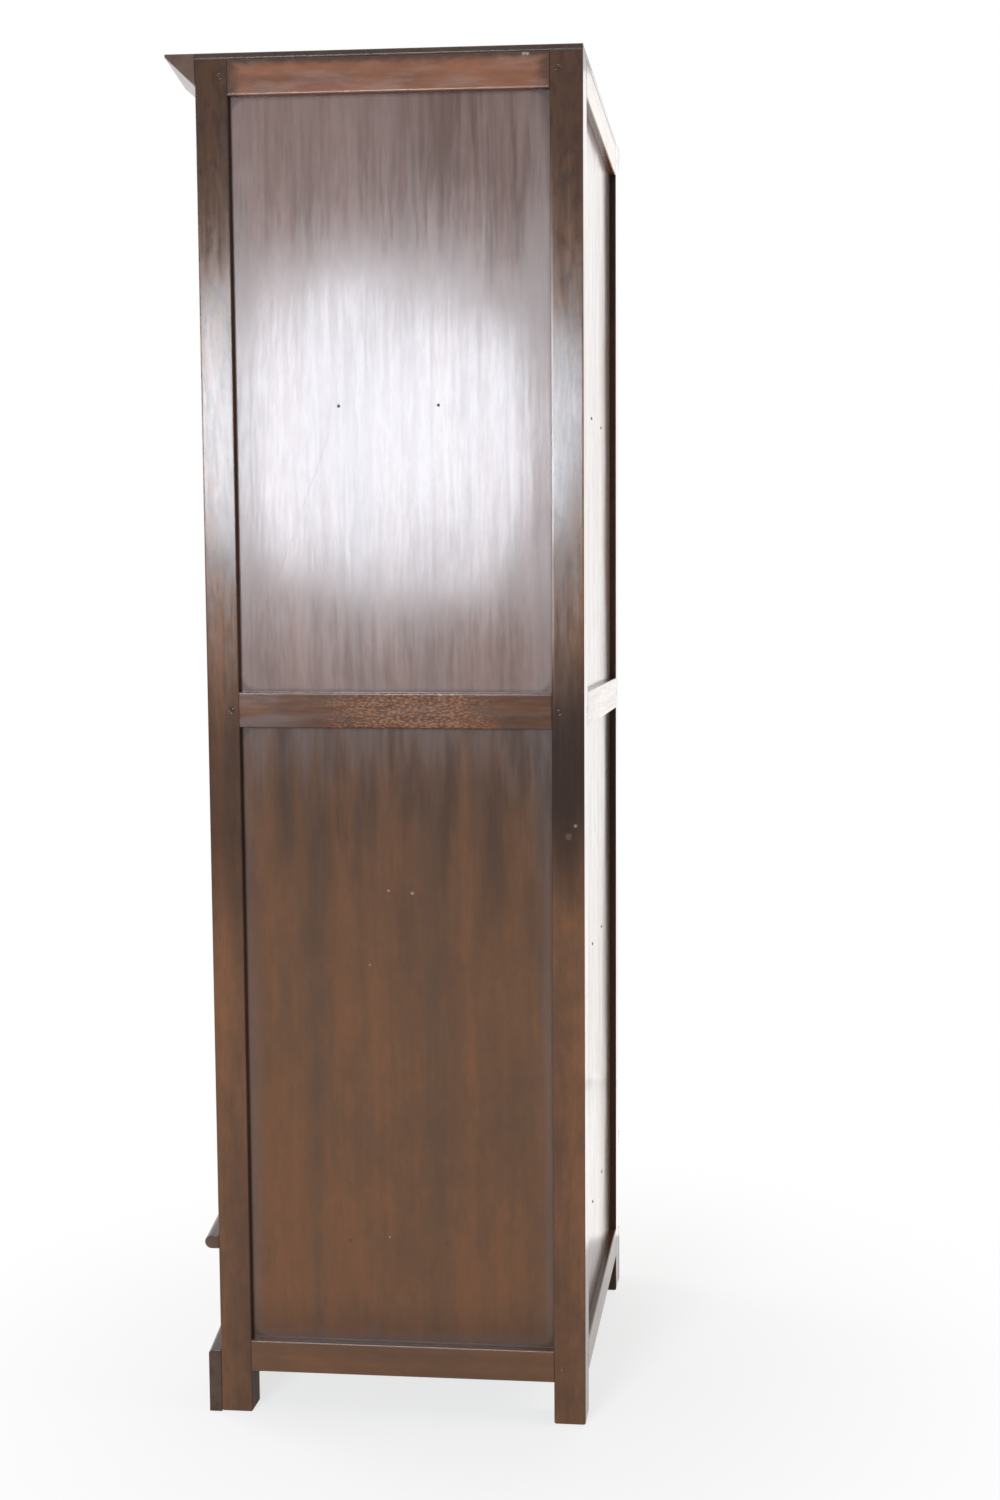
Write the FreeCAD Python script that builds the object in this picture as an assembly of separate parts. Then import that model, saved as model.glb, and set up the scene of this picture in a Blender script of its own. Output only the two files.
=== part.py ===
import FreeCAD, Part
import math
import os

# Corner cabinet in dark stained wood. The front faces -Y, the back corner points to +Y, +Z is up,
# and the origin is on the floor at the middle of the cabinet's box. Millimetres.

Vec = FreeCAD.Vector

# Overall sizes
HEIGHT = 1910.0            # floor to the top board's upper face
WALL_WIDTH = 530.0         # each wall side, along its outer face
RETURN_WIDTH = 130.0       # short side between a wall and the front, along its outer face
RETURN_FLARE = 8.0         # degrees by which a return opens outward from square to its wall

# Posts and legs
POST_SIDE = 45.0           # square back corner post
LEG_WIDTH = 45.0           # front leg, along the wall
LEG_DEPTH = 36.0           # front leg, square to the wall
FOOT_ROUND = 4.0           # rounded edge where a post meets the floor
EDGE_ROUND = 1.5           # eased long edges of the frame

# Wall rails and panels
RAIL_DEPTH = 26.0
TOP_RAIL = 48.0
MIDDLE_RAIL = 49.0
MIDDLE_RAIL_Z = 995.0      # underside above the floor
BOTTOM_RAIL = 46.0
BOTTOM_RAIL_Z = 62.0       # underside above the floor
PANEL_THICK = 8.0
PANEL_RECESS = 10.0        # panel face behind the frame's face
PANEL_TONGUE = 8.0         # how far a panel enters its grooves
GROOVE_ROOM = 0.5          # spare depth past a panel's or a pane's edge
TENON_LENGTH = 22.0
TENON_THICK = 10.0
TENON_SHOULDER = 10.0      # rail height left above and below a tenon
MORTISE_ROOM = 1.0         # spare depth past a tenon's end
PEG_DIAMETER = 7.0
PEG_LENGTH = 26.0
PEG_INSET = 10.0           # peg centre from the joint line
PEG_ROOM = 0.05            # gap around a peg

# Top board, shelves and their nails
TOP_BOARD = 8.0
SHELF_THICK = 18.0
SHELF_ROOM = 0.3           # gap between a shelf and the frame around it
UPPER_SHELF_Z = 1429.0     # undersides above the floor
LOWER_SHELF_Z = 647.0
FLOOR_Z = 248.0
NAIL_FROM_FRONT = (190.0, 329.0)   # along the wall, from its front end
NAIL_DIAMETER = 2.0
NAIL_LENGTH = 30.0
NAIL_HEAD = 4.0
NAIL_HEAD_THICK = 0.8
NAIL_ROOM = 0.05

# Front frame
FRONT_THICK = 22.0         # front boards, return boards, doors and drawer front
STILE_WIDTH = 48.0
FRONT_TOP_RAIL = 48.0
FRONT_TENON = 20.0
FRONT_TENON_THICK = 8.0

# Mouldings
CORNICE_OUT = 41.0
CORNICE_HEIGHT = 40.0
CORNICE_LIP = 4.0          # upright edge at the cornice's outermost line
CORNICE_FOOT = 3.0         # flat underside where the cornice meets the cabinet
LEDGE_OUT = 20.0
LEDGE_THICK = 19.0
LEDGE_DROP = 5.0           # ledge underside below the cupboard floor's underside
PLINTH_THICK = 18.0
PLINTH_HEIGHT = 92.0
PLINTH_ROUND = 6.0         # rounded upper outer edge
PLINTH_ARCH = 34.0         # height of the cut-out between the front feet
PLINTH_FOOT = 95.0         # length of each front foot
ARCH_ROUND = 22.0          # rounded upper corners of the cut-out

# Doors
DOOR_GAP = 2.0
DOOR_STILE = 50.0
DOOR_TOP_RAIL = 52.0
DOOR_BOTTOM_RAIL = 62.0
DOOR_TENON = 30.0
DOOR_TENON_THICK = 8.0
DOOR_SHOULDER = 13.0
DOOR_PANEL_TONGUE = 9.0
REBATE_WIDTH = 9.0         # seat of the glass around its opening
REBATE_LIP = 10.0          # door thickness left in front of the glass
GLASS_THICK = 3.0
GLASS_ROOM = 1.0
BEAD_INSET = 1.0           # glazing bead's face inside the door's back face
STOP_ROOM = 1.0            # gap between a closed door and the shelf edges behind it

# Hinges
HINGE_INSET = 70.0         # from a door's end to its hinge
KNUCKLE_LENGTH = 20.0
KNUCKLE_RADIUS = 3.5
KNUCKLE_ROOM = 0.3         # gap along the pin, and between knuckles and the face
PIN_RADIUS = 1.75
PIN_ROOM = 0.05            # running fit of the door's knuckle on the pin
PIN_HEAD_RADIUS = 2.6
PIN_HEAD = 2.0
LEAF_THICK = 1.6
LEAF_WIDTH = 17.0
LEAF_ROOM = 0.1            # each closed leaf from the hinge's middle plane

# Knobs and catches
KNOB_SEAT_RADIUS = 9.0
KNOB_SEAT = 2.0
KNOB_NECK_RADIUS = 6.0
KNOB_NECK = 8.0
KNOB_RADIUS = 14.0
KNOB_WIDEST = 17.0
KNOB_OUT = 26.0
SPIGOT_RADIUS = 4.5
SPIGOT_LENGTH = 15.0
SPIGOT_ROOM = 0.1
CATCH_RADIUS = 4.0
CATCH_LENGTH = 14.0
CATCH_BALL = 3.0
CATCH_PROUD = 1.2          # how far the ball stands out of the door's edge
CATCH_ABOVE_KNOB = 60.0
CATCH_DIMPLE = 2.0         # depth of the hole that the ball drops into

# Drawer
DRAWER_SIDE = 12.0
DRAWER_SIDE_ROOM = 3.0     # from a front stile's edge to the drawer side
DRAWER_BACK_ROOM = 12.0    # from the wall to the drawer's back corner
DRAWER_HOUSING = 8.0       # how far a side enters the drawer front
DRAWER_BOTTOM = 6.0
DRAWER_BOTTOM_UP = 9.0     # bottom board above a side's lower edge
DRAWER_GROOVE = 6.0
DRAWER_KNOB_SPACING = 230.0
RUNNER_HEIGHT = 14.0
RUNNER_WIDTH = 18.0
RUNNER_ROOM = 0.3          # drawer side above its runner

# Values worked out from those above
HALF_SQUARE = math.sqrt(0.5)
FLARE = math.radians(RETURN_FLARE)
RETURN_LEAN = math.radians(45) - FLARE     # between a return and the straight line to the front
CABINET_DEPTH = WALL_WIDTH * HALF_SQUARE + RETURN_WIDTH * math.cos(RETURN_LEAN)
BACK_Y = (CABINET_DEPTH + CORNICE_OUT) / 2
FRONT_Y = BACK_Y - CABINET_DEPTH
INNER_Y = FRONT_Y + FRONT_THICK
FRONT_HALF = WALL_WIDTH * HALF_SQUARE - RETURN_WIDTH * math.sin(RETURN_LEAN)
OPENING_HALF = FRONT_HALF - STILE_WIDTH
FRAME_TOP = HEIGHT - TOP_BOARD
PANEL_BACK = PANEL_RECESS + PANEL_THICK
RAIL_LEVELS = {
    "top": (FRAME_TOP - TOP_RAIL, FRAME_TOP),
    "middle": (MIDDLE_RAIL_Z, MIDDLE_RAIL_Z + MIDDLE_RAIL),
    "bottom": (BOTTOM_RAIL_Z, BOTTOM_RAIL_Z + BOTTOM_RAIL),
}
PANEL_LEVELS = {
    "upper": (RAIL_LEVELS["middle"][1], RAIL_LEVELS["top"][0]),
    "lower": (RAIL_LEVELS["bottom"][1], RAIL_LEVELS["middle"][0]),
}
MIDDLE_SHELF_Z = MIDDLE_RAIL_Z + (MIDDLE_RAIL - SHELF_THICK) / 2
LEDGE_Z = FLOOR_Z - LEDGE_DROP
DRAWER_SILL = max(RAIL_LEVELS["bottom"][1], PLINTH_HEIGHT)
BEAD_DEPTH = FRONT_THICK - REBATE_LIP - GLASS_THICK - BEAD_INSET
NAILED_SHELVES = (UPPER_SHELF_Z, LOWER_SHELF_Z, FLOOR_Z)
LEG_START = WALL_WIDTH - LEG_WIDTH
FRONT_RAIL_LEVELS = {
    "top": (FRAME_TOP - FRONT_TOP_RAIL, FRAME_TOP),
    "base": (BOTTOM_RAIL_Z, DRAWER_SILL),
}
DOOR_HALF = OPENING_HALF - DOOR_GAP
UPPER_DOOR = (MIDDLE_SHELF_Z + SHELF_THICK + DOOR_GAP, FRONT_RAIL_LEVELS["top"][0] - DOOR_GAP)
LOWER_DOOR = (FLOOR_Z + SHELF_THICK + DOOR_GAP, MIDDLE_SHELF_Z - DOOR_GAP)
KNOB_X = DOOR_HALF - DOOR_STILE / 2
FRONT_MIDDLE = FRONT_Y + FRONT_THICK / 2
INWARD = Vec(0, 1, 0)
SIDEWAYS = Vec(1, 0, 0)

parts = {}


# Helpers

def box(x0, x1, y0, y1, z0, z1):
    return Part.makeBox(x1 - x0, y1 - y0, z1 - z0, Vec(x0, y0, z0))


def prism(points, z0, z1):
    corners = [Vec(x, y, z0) for x, y in points]
    wire = Part.makePolygon(corners + corners[:1])
    return Part.Face(wire).extrude(Vec(0, 0, z1 - z0))


def ease(shape, radius, on_edge):
    """Round each edge whose end points all pass the test."""
    edges = [edge for edge in shape.Edges if all(on_edge(vertex.Point) for vertex in edge.Vertexes)]
    return shape.makeFillet(radius, edges)


def near(value, target):
    return abs(value - target) < 0.001


def cut_all(shape, tools):
    for tool in tools:
        shape = shape.cut(tool)
    return shape


def mirrored(shape):
    """The same piece on the cabinet's other side."""
    return shape.mirror(Vec(0, 0, 0), Vec(1, 0, 0))


def wall_point(along, deep):
    """Plan point of the left wall: along it from the back corner, and in from its outer face."""
    x = HALF_SQUARE * (deep - along)
    y = BACK_Y - HALF_SQUARE * (along + deep)
    return (x, y)


def on_left_wall(shape):
    """Move a piece drawn as (along the wall, inward, up) to its place on the left wall."""
    placed = shape.copy()
    placed.Placement = FreeCAD.Placement(Vec(0, BACK_Y, 0), FreeCAD.Rotation(Vec(0, 0, 1), 225))
    return placed


def other_wall(shape):
    """In the left wall's own axes, the same feature as the right wall has it."""
    return shape.mirror(Vec(0, 0, 0), Vec(1, -1, 0))


def return_point(inset, deep):
    """Plan point of the left return: in from its own outer face, and in from the wall's."""
    return wall_point(WALL_WIDTH + deep * math.tan(FLARE) - inset / math.cos(FLARE), deep)


def outline_corner(out):
    """Left front corner of the cabinet's outline, moved outward by a distance."""
    sideways = (1 - math.sin(RETURN_LEAN)) / math.cos(RETURN_LEAN)
    return (-FRONT_HALF - out * sideways, FRONT_Y - out)


def return_inner_x(inset, y):
    """Where a plane parallel to the left return, in from its outer face, crosses a line of constant y."""
    corner_x, corner_y = outline_corner(-inset)
    return corner_x - (y - corner_y) * math.tan(RETURN_LEAN)


def wall_inner_y(x, deep):
    """Where a plane parallel to a wall, at a depth behind its outer face, crosses a line of constant x."""
    return BACK_Y - deep * math.sqrt(2) - abs(x)


def mirror_points(points):
    return points + [(-x, y) for x, y in reversed(points) if not near(x, 0)]


def add(name, *solids):
    parts[name] = solids[0] if len(solids) == 1 else Part.makeCompound(list(solids))


def add_pair(name, left):
    add("left_" + name, left)
    add("right_" + name, mirrored(left))


# Wall joints, drawn in the left wall's own axes: along the wall, inward, up

def wall_tenons(level, room):
    z0 = level[0] + TENON_SHOULDER
    z1 = level[1] - TENON_SHOULDER
    reach = TENON_LENGTH + room
    tenon_face = (RAIL_DEPTH - TENON_THICK) / 2
    tenon_back = tenon_face + TENON_THICK
    at_post = box(POST_SIDE - reach, POST_SIDE, tenon_face, tenon_back, z0, z1)
    at_leg = box(LEG_START, LEG_START + reach, tenon_face, tenon_back, z0, z1)
    return [at_post, at_leg]


def wall_pegs(room):
    pegs = []
    for z0, z1 in RAIL_LEVELS.values():
        for along in (POST_SIDE - PEG_INSET, LEG_START + PEG_INSET):
            outer_end = Vec(along, 0, (z0 + z1) / 2)
            pegs.append(Part.makeCylinder(PEG_DIAMETER / 2 + room, PEG_LENGTH + room, outer_end, INWARD))
    return pegs


def wall_panel(level, room):
    tongue = PANEL_TONGUE + room
    return box(POST_SIDE - tongue, LEG_START + tongue, PANEL_RECESS, PANEL_BACK,
               level[0] - tongue, level[1] + tongue)


def nail_points():
    for shelf_z in NAILED_SHELVES:
        for from_front in NAIL_FROM_FRONT:
            yield Vec(WALL_WIDTH - from_front, PANEL_RECESS, shelf_z + SHELF_THICK / 2)


def nail_shanks(room):
    return [Part.makeCylinder(NAIL_DIAMETER / 2 + room, NAIL_LENGTH + room, point, INWARD)
            for point in nail_points()]


def nail_heads():
    back = Vec(0, NAIL_HEAD_THICK, 0)
    return [Part.makeCylinder(NAIL_HEAD / 2, NAIL_HEAD_THICK, point - back, INWARD)
            for point in nail_points()]


MORTISES = [tenon for level in RAIL_LEVELS.values() for tenon in wall_tenons(level, MORTISE_ROOM)]
GROOVES = [wall_panel(level, GROOVE_ROOM) for level in PANEL_LEVELS.values()]
PEG_HOLES = wall_pegs(PEG_ROOM)
NAIL_HOLES = nail_shanks(NAIL_ROOM)


# Posts

def post_blank(plan, eased_corners):
    blank = prism(plan, 0, FRAME_TOP)
    for corner in eased_corners:
        blank = ease(blank, EDGE_ROUND, lambda point: near(point.x, corner[0]) and near(point.y, corner[1]))
    return ease(blank, FOOT_ROUND, lambda point: near(point.z, 0))


def back_corner_post():
    plan = [(POST_SIDE, POST_SIDE), (0, POST_SIDE), (0, 0), (POST_SIDE, 0)]
    post = post_blank(plan, plan[1:])
    joints = MORTISES + GROOVES + PEG_HOLES
    return cut_all(post, joints + [other_wall(joint) for joint in joints])


def front_leg():
    flared = WALL_WIDTH + LEG_DEPTH * math.tan(FLARE)
    plan = [(LEG_START, 0), (WALL_WIDTH, 0), (flared, LEG_DEPTH), (LEG_START, LEG_DEPTH)]
    leg = post_blank(plan, plan[:2])
    return cut_all(leg, MORTISES + GROOVES + PEG_HOLES)


add("back_corner_post", on_left_wall(back_corner_post()))
add_pair("front_leg", on_left_wall(front_leg()))


# Wall rails and panels

def wall_rail(level):
    rail = box(POST_SIDE, LEG_START, 0, RAIL_DEPTH, *level)
    for z in level:
        rail = ease(rail, EDGE_ROUND, lambda point: near(point.y, 0) and near(point.z, z))
    for tenon in wall_tenons(level, 0):
        rail = rail.fuse(tenon)
    return cut_all(rail, GROOVES + PEG_HOLES)


for place, level in RAIL_LEVELS.items():
    add_pair("wall_" + place + "_rail", on_left_wall(wall_rail(level)))
for place, level in PANEL_LEVELS.items():
    add_pair("wall_" + place + "_panel", on_left_wall(cut_all(wall_panel(level, 0), NAIL_HOLES)))


# Pegs in the rail joints, and nails through the panels into the shelves

left_pegs = [on_left_wall(peg) for peg in wall_pegs(0)]
left_nails = [on_left_wall(shank.fuse(head)) for shank, head in zip(nail_shanks(0), nail_heads())]
add("joint_pegs", *left_pegs, *[mirrored(peg) for peg in left_pegs])
add("panel_nails", *left_nails, *[mirrored(nail) for nail in left_nails])


# Return boards and front frame

def front_tenons(level, room):
    z0 = level[0] + TENON_SHOULDER
    z1 = level[1] - TENON_SHOULDER
    reach = OPENING_HALF + FRONT_TENON + room
    half_thick = FRONT_TENON_THICK / 2
    return box(-reach, reach, FRONT_MIDDLE - half_thick, FRONT_MIDDLE + half_thick, z0, z1)


def return_board():
    plan = [return_point(0, LEG_DEPTH), outline_corner(0),
            outline_corner(-FRONT_THICK), return_point(FRONT_THICK, LEG_DEPTH)]
    return prism(plan, 0, FRAME_TOP)


def front_stile():
    plan = [outline_corner(0), (-OPENING_HALF, FRONT_Y),
            (-OPENING_HALF, INNER_Y), outline_corner(-FRONT_THICK)]
    stile = prism(plan, 0, FRAME_TOP)
    stile = ease(stile, EDGE_ROUND, lambda point: near(point.x, -OPENING_HALF) and near(point.y, FRONT_Y))
    return cut_all(stile, [front_tenons(level, MORTISE_ROOM) for level in FRONT_RAIL_LEVELS.values()])


def front_rail(level):
    rail = box(-OPENING_HALF, OPENING_HALF, FRONT_Y, INNER_Y, *level)
    return rail.fuse(front_tenons(level, 0)).removeSplitter()


add_pair("return_board", return_board())
for place, level in FRONT_RAIL_LEVELS.items():
    add("front_" + place + "_rail", front_rail(level))


# Top board and shelves

def shelf_plan(wall_depth, to_front):
    """Half of a shelf's outline, from the front to the back corner, clear of posts, legs and boards."""
    room = SHELF_ROOM
    inset = FRONT_THICK + room
    shelf_front = INNER_Y + STOP_ROOM
    leg_step = LEG_START - math.copysign(room, LEG_DEPTH - wall_depth)
    points = []
    if to_front:
        points += [(-OPENING_HALF + room, FRONT_Y), (-OPENING_HALF + room, shelf_front)]
    points += [(return_inner_x(inset, shelf_front), shelf_front),
               return_point(inset, LEG_DEPTH + room),
               wall_point(leg_step, LEG_DEPTH + room),
               wall_point(leg_step, wall_depth + room),
               wall_point(POST_SIDE + room, wall_depth + room),
               wall_point(POST_SIDE + room, POST_SIDE + room)]
    return mirror_points(points)


def shelf(z, wall_depth, to_front=False):
    holes = [on_left_wall(hole) for hole in NAIL_HOLES]
    board = prism(shelf_plan(wall_depth, to_front), z, z + SHELF_THICK)
    return cut_all(board, holes + [mirrored(hole) for hole in holes])


def top_board():
    plan = [outline_corner(0), wall_point(WALL_WIDTH, 0), wall_point(0, 0)]
    return prism(mirror_points(plan), FRAME_TOP, HEIGHT)


add("top_board", top_board())
add("upper_shelf", shelf(UPPER_SHELF_Z, PANEL_BACK))
add("middle_shelf", shelf(MIDDLE_SHELF_Z, RAIL_DEPTH, to_front=True))
add("lower_shelf", shelf(LOWER_SHELF_Z, PANEL_BACK))
add("cupboard_floor", shelf(FLOOR_Z, PANEL_BACK, to_front=True))


# Mouldings: each profile is drawn as (outward, up) and run along the return and along the front,
# with mitred corners and with its end cut flush with the wall

def line(start, end):
    return Part.LineSegment(Vec(start[0], 0, start[1]), Vec(end[0], 0, end[1])).toShape()


def arc(start, middle, end):
    return Part.Arc(*[Vec(out, 0, up) for out, up in (start, middle, end)]).toShape()


def cornice_profile():
    z0 = HEIGHT - CORNICE_HEIGHT
    corners = [(0, z0), (CORNICE_FOOT, z0), (CORNICE_OUT, HEIGHT - CORNICE_LIP), (CORNICE_OUT, HEIGHT),
               (0, HEIGHT)]
    return [line(start, end) for start, end in zip(corners, corners[1:] + corners[:1])]


def ledge_profile():
    radius = LEDGE_THICK / 2
    flat = LEDGE_OUT - radius
    top = LEDGE_Z + LEDGE_THICK
    return [line((0, LEDGE_Z), (flat, LEDGE_Z)),
            arc((flat, LEDGE_Z), (LEDGE_OUT, LEDGE_Z + radius), (flat, top)),
            line((flat, top), (0, top)),
            line((0, top), (0, LEDGE_Z))]


def plinth_profile():
    flat = PLINTH_THICK - PLINTH_ROUND
    shoulder = PLINTH_HEIGHT - PLINTH_ROUND
    bend = PLINTH_ROUND * HALF_SQUARE
    return [line((0, 0), (PLINTH_THICK, 0)),
            line((PLINTH_THICK, 0), (PLINTH_THICK, shoulder)),
            arc((PLINTH_THICK, shoulder), (flat + bend, shoulder + bend), (flat, PLINTH_HEIGHT)),
            line((flat, PLINTH_HEIGHT), (0, PLINTH_HEIGHT)),
            line((0, PLINTH_HEIGHT), (0, 0))]


def run_profile(profile, start, turn, plan):
    """Sweep a profile straight along one side of the cabinet and trim it to a plan outline."""
    face = Part.Face(Part.Wire(profile))
    face.rotate(Vec(0, 0, 0), Vec(0, 0, 1), turn)
    face.translate(Vec(start[0], start[1], 0))
    outward = FreeCAD.Rotation(Vec(0, 0, 1), turn).multVec(Vec(1, 0, 0))
    along = outward.cross(Vec(0, 0, -1)) * WALL_WIDTH * 2
    bar = face.extrude(along)
    bar.translate(along * -0.5)
    return bar.common(prism(plan, -HEIGHT, 2 * HEIGHT))


def return_run(profile):
    reach = CORNICE_OUT * 2
    plan = [wall_point(WALL_WIDTH, 0), wall_point(WALL_WIDTH + reach, 0),
            outline_corner(reach), outline_corner(0)]
    return run_profile(profile, wall_point(WALL_WIDTH, 0), 180 + math.degrees(RETURN_LEAN), plan)


def front_run(profile):
    reach = CORNICE_OUT * 2
    plan = mirror_points([outline_corner(reach), outline_corner(0)])
    return run_profile(profile, (0, FRONT_Y), -90, plan)


def foot_arch():
    """The cut-out that leaves two feet on the front plinth."""
    left = outline_corner(PLINTH_THICK)[0] + PLINTH_FOOT
    cutter = box(left, -left, FRONT_Y - 2 * PLINTH_THICK, FRONT_Y + PLINTH_THICK, -PLINTH_ARCH, PLINTH_ARCH)
    for x in (left, -left):
        cutter = ease(cutter, ARCH_ROUND, lambda point: near(point.x, x) and near(point.z, PLINTH_ARCH))
    return cutter


MOULDINGS = {"cornice": cornice_profile, "waist_ledge": ledge_profile, "plinth": plinth_profile}
for name, profile in MOULDINGS.items():
    add_pair(name + "_return", return_run(profile()))
    add(name + "_front", front_run(profile()))
parts["plinth_front"] = parts["plinth_front"].cut(foot_arch())


# Knobs and catches

def knob(x, z):
    """A turned knob on the front face, with its spigot in the wood behind."""
    seat = Vec(KNOB_SEAT_RADIUS, 0, KNOB_SEAT)
    neck = Vec(KNOB_NECK_RADIUS, 0, KNOB_NECK)
    widest = Vec(KNOB_RADIUS, 0, KNOB_WIDEST)
    tip = Vec(0, 0, KNOB_OUT)
    sweep = Part.BSplineCurve()
    sweep.interpolate(Points=[seat, neck, widest, tip],
                      InitialTangent=Vec(-1, 0, 1), FinalTangent=Vec(-1, 0, 0))
    profile = Part.Wire([
        line((0, -SPIGOT_LENGTH), (SPIGOT_RADIUS, -SPIGOT_LENGTH)),
        line((SPIGOT_RADIUS, -SPIGOT_LENGTH), (SPIGOT_RADIUS, 0)),
        line((SPIGOT_RADIUS, 0), (KNOB_SEAT_RADIUS, 0)),
        line((KNOB_SEAT_RADIUS, 0), (KNOB_SEAT_RADIUS, KNOB_SEAT)),
        sweep.toShape(),
        line((0, KNOB_OUT), (0, -SPIGOT_LENGTH)),
    ])
    turned = Part.Face(profile).revolve(Vec(0, 0, 0), Vec(0, 0, 1), 360)
    turned.rotate(Vec(0, 0, 0), Vec(1, 0, 0), 90)
    turned.translate(Vec(x, FRONT_Y, z))
    return turned


def spigot_hole(x, z):
    mouth = Vec(x, FRONT_Y, z)
    return Part.makeCylinder(SPIGOT_RADIUS + SPIGOT_ROOM, SPIGOT_LENGTH + SPIGOT_ROOM, mouth, INWARD)


def catch(z):
    """A ball catch let into the door's closing edge."""
    inner_end = Vec(DOOR_HALF - CATCH_LENGTH, FRONT_MIDDLE, z)
    barrel = Part.makeCylinder(CATCH_RADIUS, CATCH_LENGTH, inner_end, SIDEWAYS)
    ball = Part.makeSphere(CATCH_BALL, Vec(DOOR_HALF + CATCH_PROUD - CATCH_BALL, FRONT_MIDDLE, z))
    return barrel.fuse(ball)


def catch_hole(z):
    inner_end = Vec(DOOR_HALF - CATCH_LENGTH - SPIGOT_ROOM, FRONT_MIDDLE, z)
    return Part.makeCylinder(CATCH_RADIUS + SPIGOT_ROOM, CATCH_LENGTH * 2, inner_end, SIDEWAYS)


def catch_dimple(z):
    return Part.makeCylinder(CATCH_BALL, CATCH_DIMPLE, Vec(OPENING_HALF, FRONT_MIDDLE, z), SIDEWAYS)


# Hinges: the knuckles stand in front of the gap at the door's left edge

HINGE_X = -OPENING_HALF + DOOR_GAP / 2
HINGE_Y = FRONT_Y - KNUCKLE_RADIUS - KNUCKLE_ROOM


def leaf_plates(z, side, knuckles):
    """Flat plates of one leaf, on the carcass (side -1) or on the door (side +1)."""
    x0, x1 = sorted((HINGE_X + side * LEAF_ROOM, HINGE_X + side * (LEAF_ROOM + LEAF_THICK)))
    start = FRONT_Y + KNUCKLE_ROOM
    plates = [box(x0, x1, start, start + LEAF_WIDTH, z, z + 3 * KNUCKLE_LENGTH)]
    for z0, z1 in knuckles:
        plates.append(box(x0, x1, HINGE_Y, start, z + z0, z + z1))
    return plates


def leaf(z, side, knuckles, bore):
    solid = None
    for piece in leaf_plates(z, side, knuckles):
        solid = piece if solid is None else solid.fuse(piece)
    for z0, z1 in knuckles:
        solid = solid.fuse(Part.makeCylinder(KNUCKLE_RADIUS, z1 - z0, Vec(HINGE_X, HINGE_Y, z + z0)))
    hole = Part.makeCylinder(bore, 5 * KNUCKLE_LENGTH, Vec(HINGE_X, HINGE_Y, z - KNUCKLE_LENGTH))
    return solid.cut(hole).removeSplitter()


CARCASS_KNUCKLES = ((0, KNUCKLE_LENGTH), (2 * KNUCKLE_LENGTH, 3 * KNUCKLE_LENGTH))
DOOR_KNUCKLES = ((KNUCKLE_LENGTH + KNUCKLE_ROOM, 2 * KNUCKLE_LENGTH - KNUCKLE_ROOM),)


def hinge_pin(z):
    length = 3 * KNUCKLE_LENGTH
    shank = Part.makeCylinder(PIN_RADIUS, length, Vec(HINGE_X, HINGE_Y, z))
    head = Part.makeCylinder(PIN_HEAD_RADIUS, PIN_HEAD, Vec(HINGE_X, HINGE_Y, z + length))
    return shank.fuse(head)


def hinge_levels(level):
    return (level[0] + HINGE_INSET, level[1] - HINGE_INSET - 3 * KNUCKLE_LENGTH)


# Doors

def door_tenons(z0, z1, room):
    reach = DOOR_HALF - DOOR_STILE + DOOR_TENON + room
    half_thick = DOOR_TENON_THICK / 2
    return box(-reach, reach, FRONT_MIDDLE - half_thick, FRONT_MIDDLE + half_thick,
               z0 + DOOR_SHOULDER, z1 - DOOR_SHOULDER)


def door_frame(name, level, cuts):
    """Stiles and rails of one door, with their joints, hinge recesses, knob hole and catch hole."""
    z0, z1 = level
    rails = {"bottom": (z0, z0 + DOOR_BOTTOM_RAIL), "top": (z1 - DOOR_TOP_RAIL, z1)}
    for place, (low, high) in rails.items():
        inner = DOOR_HALF - DOOR_STILE
        rail = box(-inner, inner, FRONT_Y, INNER_Y, low, high)
        for z in (low, high):
            rail = ease(rail, EDGE_ROUND, lambda point: near(point.y, FRONT_Y) and near(point.z, z))
        rail = rail.fuse(door_tenons(low, high, 0))
        add(name + "_" + place + "_rail", cut_all(rail, cuts))
    mortises = [door_tenons(low, high, MORTISE_ROOM) for low, high in rails.values()]
    stile = box(-DOOR_HALF, -DOOR_HALF + DOOR_STILE, FRONT_Y, INNER_Y, z0, z1)
    for x in (-DOOR_HALF, -DOOR_HALF + DOOR_STILE):
        stile = ease(stile, EDGE_ROUND, lambda point: near(point.x, x) and near(point.y, FRONT_Y))
    stile = cut_all(stile, mortises + cuts)
    knob_z = (z0 + z1) / 2
    recesses = [plate for z in hinge_levels(level) for plate in leaf_plates(z, 1, DOOR_KNUCKLES)]
    add(name + "_hinge_stile", cut_all(stile, recesses))
    holes = [spigot_hole(KNOB_X, knob_z), catch_hole(knob_z + CATCH_ABOVE_KNOB)]
    add(name + "_closing_stile", cut_all(mirrored(stile), holes))
    add(name + "_knob", knob(KNOB_X, knob_z))
    add(name + "_catch", catch(knob_z + CATCH_ABOVE_KNOB))
    bore = PIN_RADIUS + PIN_ROOM
    add(name + "_hinge_leaves", *[leaf(z, 1, DOOR_KNUCKLES, bore) for z in hinge_levels(level)])


def door_sight(level, extra):
    """The door's opening between stiles and rails, grown by a margin: half width, lower and upper edge."""
    half = DOOR_HALF - DOOR_STILE + extra
    return half, level[0] + DOOR_BOTTOM_RAIL - extra, level[1] - DOOR_TOP_RAIL + extra


def door_slab(level, extra, y0, y1):
    half, z0, z1 = door_sight(level, extra)
    return box(-half, half, y0, y1, z0, z1)


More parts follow.
